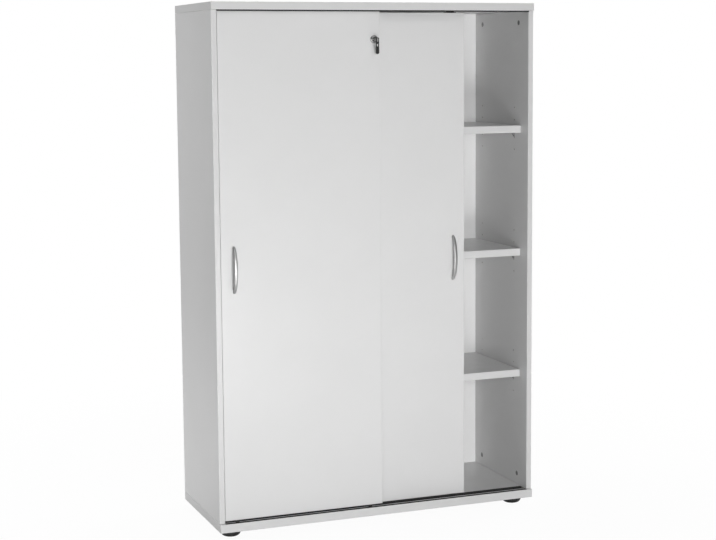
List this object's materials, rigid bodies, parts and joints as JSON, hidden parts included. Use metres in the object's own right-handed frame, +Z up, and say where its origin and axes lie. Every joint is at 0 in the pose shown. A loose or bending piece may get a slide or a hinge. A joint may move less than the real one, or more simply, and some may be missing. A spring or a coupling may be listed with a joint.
{
  "type": "sliding-door filing cupboard",
  "caption": "Tall light grey filing cupboard with sliding doors on roller tracks, bow handles, a key lock, inner shelves and glide feet.",
  "frame": {"origin": "on the floor, under the middle of the whole object's box, with the handles and the hanging key included", "axes": "+Z up, +X to the right as seen from the front, +Y from the front to the back; the doors and handles face -Y"},
  "size_m": [1, 0.4096, 1.534],
  "materials": {
    "laminate": "light grey melamine-faced board, fine satin texture",
    "track_plastic": "black, satin",
    "nylon": "black, satin",
    "foot_plastic": "black, matt",
    "key_plastic": "black, semi-gloss",
    "satin_nickel": "satin nickel on die-cast zinc",
    "chrome": "polished",
    "steel": "nickelled",
    "zinc": "die-cast zinc, dull"
  },
  "bodies": {
    "carcass": {"back_panel": "laminate", "base_panel": "laminate", "bottom_track": "track_plastic", "cam_left_lower_front": "zinc", "cam_left_lower_rear": "zinc", "cam_left_upper_front": "zinc", "cam_left_upper_rear": "zinc", "cam_right_lower_front": "zinc", "cam_right_lower_rear": "zinc", "cam_right_upper_front": "zinc", "cam_right_upper_rear": "zinc", "foot_left_front": "foot_plastic", "foot_left_rear": "foot_plastic", "foot_right_front": "foot_plastic", "foot_right_rear": "foot_plastic", "left_side": "laminate", "right_side": "laminate", "shelf_lower": "laminate", "shelf_middle": "laminate", "shelf_support_lower_left_front": "steel", "shelf_support_lower_left_rear": "steel", "shelf_support_lower_right_front": "steel", "shelf_support_lower_right_rear": "steel", "shelf_support_middle_left_front": "steel", "shelf_support_middle_left_rear": "steel", "shelf_support_middle_right_front": "steel", "shelf_support_middle_right_rear": "steel", "shelf_support_upper_left_front": "steel", "shelf_support_upper_left_rear": "steel", "shelf_support_upper_right_front": "steel", "shelf_support_upper_right_rear": "steel", "shelf_upper": "laminate", "top_panel": "laminate", "top_track": "track_plastic"},
    "front_door": {"front_door": "laminate", "handle_front_door": "satin_nickel", "handle_screw_front_door_lower": "steel", "handle_screw_front_door_upper": "steel", "roller_housing_front_door_left": "track_plastic", "roller_housing_front_door_right": "track_plastic", "top_guide_front_door_left": "track_plastic", "top_guide_front_door_right": "track_plastic", "lock_housing": "chrome"},
    "rear_door": {"handle_rear_door": "satin_nickel", "handle_screw_rear_door_lower": "steel", "handle_screw_rear_door_upper": "steel", "rear_door": "laminate", "roller_housing_rear_door_left": "track_plastic", "roller_housing_rear_door_right": "track_plastic", "top_guide_rear_door_left": "track_plastic", "top_guide_rear_door_right": "track_plastic", "lock_strike": "steel"},
    "lock_core": {"lock_plug": "chrome", "key_blade": "steel", "lock_lever": "steel"},
    "key_bow": {"key_bow": "key_plastic"},
    "roller_wheel_front_door_left": {"roller_wheel_front_door_left": "nylon"},
    "roller_wheel_front_door_right": {"roller_wheel_front_door_right": "nylon"},
    "roller_wheel_rear_door_left": {"roller_wheel_rear_door_left": "nylon"},
    "roller_wheel_rear_door_right": {"roller_wheel_rear_door_right": "nylon"}
  },
  "joints": [
    {"name": "front_door_slide", "type": "slide", "parent": "carcass", "child": "front_door", "axis": [1, 0, 0], "range_m": [0, 0.116]},
    {"name": "rear_door_slide", "type": "slide", "parent": "carcass", "child": "rear_door", "axis": [1, 0, 0], "range_m": [-0.116, 0.198]},
    {"name": "lock_turn", "type": "hinge", "parent": "front_door", "child": "lock_core", "pos_m": [-0.012, -0.16675, 1.4282], "axis": [0, 1, 0], "range_deg": [0, 90]},
    {"name": "key_fold", "type": "hinge", "parent": "lock_core", "child": "key_bow", "pos_m": [-0.012, -0.19995, 1.4267], "axis": [-1, 0, 0], "range_deg": [0, 90]},
    {"name": "roller_wheel_front_door_left_spin", "type": "hinge", "parent": "front_door", "child": "roller_wheel_front_door_left", "pos_m": [-0.444, -0.16675, 0.057], "axis": [0, 1, 0], "range_deg": [0, 700]},
    {"name": "roller_wheel_front_door_right_spin", "type": "hinge", "parent": "front_door", "child": "roller_wheel_front_door_right", "pos_m": [-0.032, -0.16675, 0.057], "axis": [0, 1, 0], "range_deg": [0, 700]},
    {"name": "roller_wheel_rear_door_left_spin", "type": "hinge", "parent": "rear_door", "child": "roller_wheel_rear_door_left", "pos_m": [-0.166, -0.14575, 0.057], "axis": [0, 1, 0], "range_deg": [-700, 1195]},
    {"name": "roller_wheel_rear_door_right_spin", "type": "hinge", "parent": "rear_door", "child": "roller_wheel_rear_door_right", "pos_m": [0.246, -0.14575, 0.057], "axis": [0, 1, 0], "range_deg": [-700, 1195]}
  ],
  "couplings": [
    {"joint": "roller_wheel_front_door_left_spin", "follows": "front_door_slide", "rad_per_m": 105.26},
    {"joint": "roller_wheel_front_door_right_spin", "follows": "front_door_slide", "rad_per_m": 105.26},
    {"joint": "roller_wheel_rear_door_left_spin", "follows": "rear_door_slide", "rad_per_m": 105.26},
    {"joint": "roller_wheel_rear_door_right_spin", "follows": "rear_door_slide", "rad_per_m": 105.26}
  ]
}
